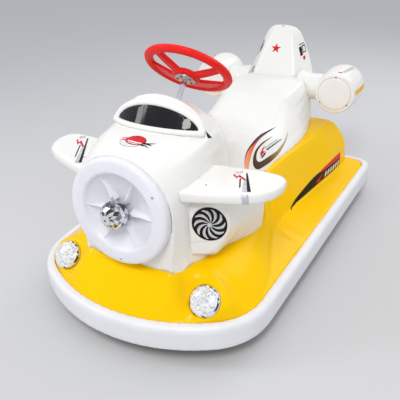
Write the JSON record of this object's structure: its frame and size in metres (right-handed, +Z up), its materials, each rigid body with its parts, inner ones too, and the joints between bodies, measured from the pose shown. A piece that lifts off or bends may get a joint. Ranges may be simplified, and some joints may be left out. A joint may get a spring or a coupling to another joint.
{
  "type": "children's aeroplane bumper car",
  "caption": "Children's battery bumper car shaped like a small aeroplane, with a white body, short wings, rear pods and a yellow base ringed by a soft white bumper band.",
  "frame": {"origin": "on the floor, under the centre of the overall box", "axes": "-Y towards the nose, +Z up, +X to the rider's left"},
  "size_m": [0.816, 1.32, 0.7274],
  "materials": {
    "bumper": "satin",
    "yellow": "gloss",
    "white": "gloss",
    "milky": "satin",
    "chrome": "polished",
    "black": "gloss",
    "clear": "clear",
    "red": "satin",
    "steel": "satin",
    "dark": "matte",
    "tyre": "matte",
    "rim": "satin"
  },
  "bodies": {
    "car_body": {"bumper_ring": "bumper", "base_shell": "yellow", "front_fuselage": "white", "seat_body": "white", "tail_backrest": "white", "nose_cover": "milky", "windscreen_frame": "white", "windscreen_panel": "black", "wing_left": "white", "wing_right": "white", "headlamp_ring_left": "chrome", "headlamp_ring_right": "chrome", "headlamp_lens_left": "clear", "headlamp_lens_right": "clear", "pod_arm_left": "white", "pod_arm_right": "white", "engine_pod_left": "white", "engine_pod_right": "white", "pod_cover_left": "white", "pod_cover_right": "white", "frame_ring": "steel", "frame_bar_front": "steel", "frame_bar_steering": "steel", "frame_bar_middle": "steel", "frame_bar_rear": "steel", "frame_rail_left": "steel", "frame_rail_right": "steel", "fork_bridge": "steel", "rear_axle": "steel", "battery_tray": "steel", "battery": "dark"},
    "steering": {"steering_wheel": "red", "steering_hub_plate": "chrome", "steering_column": "chrome"},
    "fork": {"steering_fork": "steel", "drive_motor": "dark"},
    "drive_wheel": {"drive_tyre": "tyre", "drive_rim": "rim"},
    "rear_wheel_left": {"rear_tyre_left": "tyre", "rear_rim_left": "rim"},
    "rear_wheel_right": {"rear_tyre_right": "tyre", "rear_rim_right": "rim"},
    "nose_lamp": {"nose_ball": "chrome"}
  },
  "joints": [
    {"name": "steering_turn", "type": "hinge", "parent": "car_body", "child": "steering", "pos_m": [0, -0.193, 0.641], "axis": [0, 0.6511, 0.759], "range_deg": [-180, 180]},
    {"name": "fork_turn", "type": "hinge", "parent": "car_body", "child": "fork", "pos_m": [0, -0.36, 0.153], "axis": [0, 0, 1], "range_deg": [-180, 180]},
    {"name": "drive_wheel_spin", "type": "hinge", "parent": "fork", "child": "drive_wheel", "pos_m": [0, -0.36, 0.068], "axis": [1, 0, 0], "continuous": true},
    {"name": "rear_wheel_left_spin", "type": "hinge", "parent": "car_body", "child": "rear_wheel_left", "pos_m": [0.196, 0.27, 0.075], "axis": [1, 0, 0], "continuous": true},
    {"name": "rear_wheel_right_spin", "type": "hinge", "parent": "car_body", "child": "rear_wheel_right", "pos_m": [-0.196, 0.27, 0.075], "axis": [1, 0, 0], "continuous": true},
    {"name": "nose_lamp_spin", "type": "hinge", "parent": "car_body", "child": "nose_lamp", "pos_m": [0, -0.567, 0.378], "axis": [0, -0.9977, 0.0679], "continuous": true}
  ],
  "couplings": [
    {"joint": "fork_turn", "follows": "steering_turn", "ratio": 1}
  ]
}
